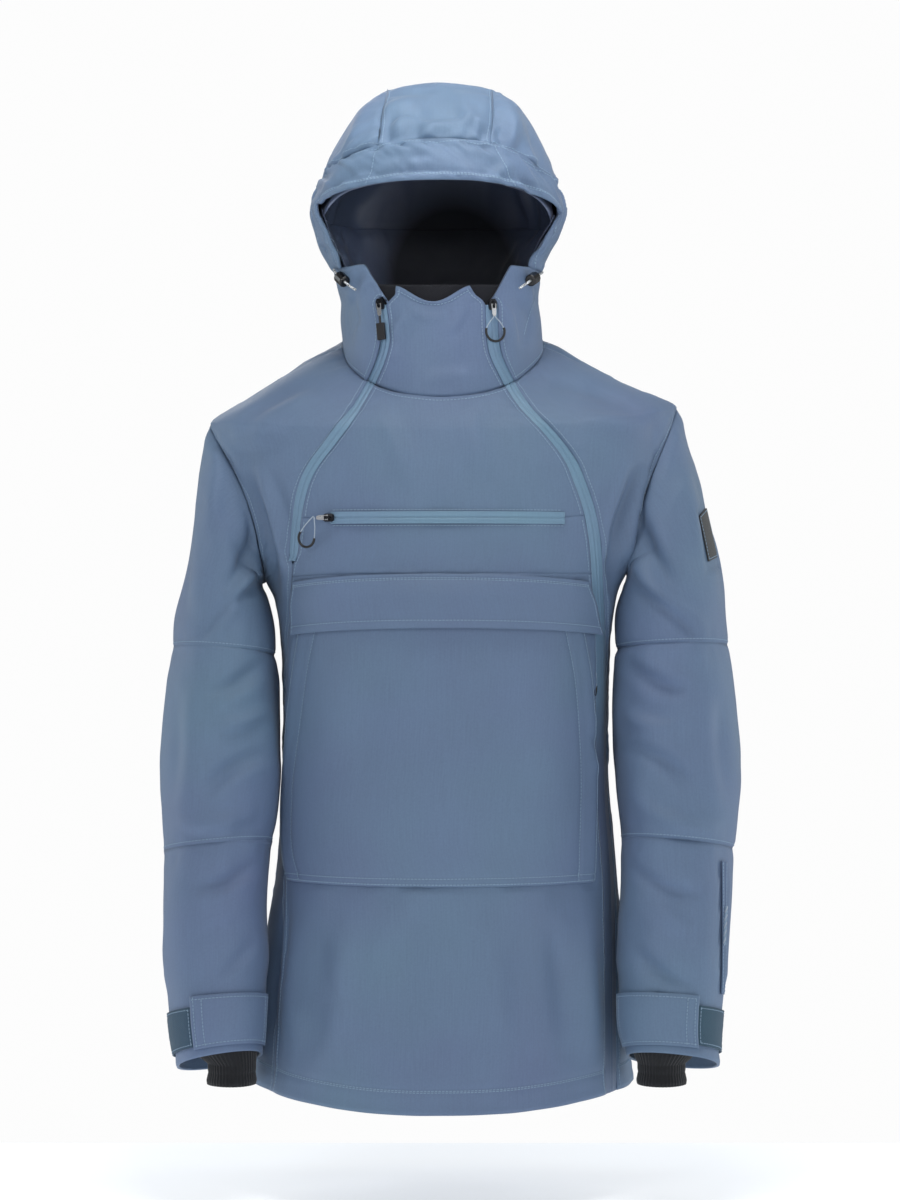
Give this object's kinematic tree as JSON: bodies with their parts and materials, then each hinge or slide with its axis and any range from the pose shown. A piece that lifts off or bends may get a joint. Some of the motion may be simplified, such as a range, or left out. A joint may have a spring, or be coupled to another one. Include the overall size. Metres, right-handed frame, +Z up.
{
  "type": "anorak pullover",
  "caption": "Hooded insulated pullover with two slanting front zips, a chest zip, a flapped front pouch and hook-and-loop cuffs, standing open as if worn.",
  "frame": {"origin": "The middle of the neck, at the height where the wearer's shoulders carry the garment.", "axes": "+Z up, the front faces -Y, +X to the right as seen from the front. Left and right in the names are as seen from the front."},
  "size_m": [0.5837, 0.2887, 1.0347],
  "materials": {
    "shell": "matte padded woven cloth",
    "tape": "woven zip tape",
    "hook": "hook and loop strip",
    "knit": "ribbed knit",
    "satin": "smooth lining cloth",
    "metal": "dark coated metal",
    "rubber": "moulded rubber",
    "cord": "braided cord",
    "patch": "bare woven patch"
  },
  "bodies": {
    "root": {"back_panel": "shell", "side_front_left": "shell", "side_front_right": "shell", "front_chest": "shell", "front_chest_pocket": "shell", "front_lower": "shell", "pocket_flap": "shell", "front_pouch": "shell", "sleeve_upper_left": "shell", "sleeve_elbow_left": "shell", "sleeve_forearm_left": "shell", "sleeve_upper_right": "shell", "sleeve_elbow_right": "shell", "sleeve_forearm_right": "shell", "cuff_tab_left": "shell", "cuff_tab_right": "shell", "sleeve_pocket_welt": "shell", "collar_side_left": "shell", "collar_side_right": "shell", "hood_side_left": "shell", "hood_side_right": "shell", "hood_crown_left": "shell", "hood_crown_right": "shell", "hood_band": "shell", "hood_centre": "shell", "collar_front": "shell", "chest_zip": "tape", "zip_left": "tape", "zip_right": "tape", "zip_left_collar": "tape", "zip_right_collar": "tape", "hook_strip_left": "hook", "hook_strip_right": "hook", "sleeve_patch": "patch", "knit_cuff_left": "knit", "knit_cuff_right": "knit", "inner_collar": "knit", "hood_lining": "satin", "hood_lining_crown": "satin", "slider_left": "metal", "slider_right": "metal", "slider_chest": "metal", "cord_lock_left": "rubber", "cord_lock_right": "rubber", "hood_cord_left": "cord", "hood_cord_right": "cord"},
    "pull_left": {"pull_left_tab": "metal", "pull_left_end": "rubber"},
    "pull_right": {"pull_right_tab": "metal", "pull_right_loop": "cord"},
    "pull_chest": {"pull_chest_tab": "metal", "pull_chest_loop": "cord"},
    "pouch_pull_left": {"pouch_loop_left": "cord"},
    "pouch_pull_right": {"pouch_loop_right": "cord"},
    "sleeve_pull": {"sleeve_puller": "cord"}
  },
  "joints": [
    {"name": "left_tab_swing", "type": "hinge", "parent": "root", "child": "pull_left", "pos_m": [-0.06142, -0.0868, 0.04], "axis": [-0.887, 0.453, -0.0895], "range_deg": [0, 120]},
    {"name": "right_tab_swing", "type": "hinge", "parent": "root", "child": "pull_right", "pos_m": [0.05418, -0.09, 0.03943], "axis": [-0.9268, -0.371, -0.0578], "range_deg": [0, 120]},
    {"name": "chest_tab_swing", "type": "hinge", "parent": "root", "child": "pull_chest", "pos_m": [-0.1113, -0.12835, -0.17555], "axis": [0, 0.0617, 0.9981], "range_deg": [0, 100]},
    {"name": "left_pouch_loop_swing", "type": "hinge", "parent": "root", "child": "pouch_pull_left", "pos_m": [-0.15194, -0.05778, -0.34901], "axis": [-0.0054, -0.0019, 1], "range_deg": [0, 80]},
    {"name": "right_pouch_loop_swing", "type": "hinge", "parent": "root", "child": "pouch_pull_right", "pos_m": [0.15379, -0.07592, -0.34202], "axis": [-0.0131, 0.0075, -0.9999], "range_deg": [0, 80]},
    {"name": "sleeve_puller_swing", "type": "hinge", "parent": "root", "child": "sleeve_pull", "pos_m": [0.28703, -0.10085, -0.56351], "axis": [-0.5351, -0.8315, 0.1495], "range_deg": [0, 90]}
  ]
}
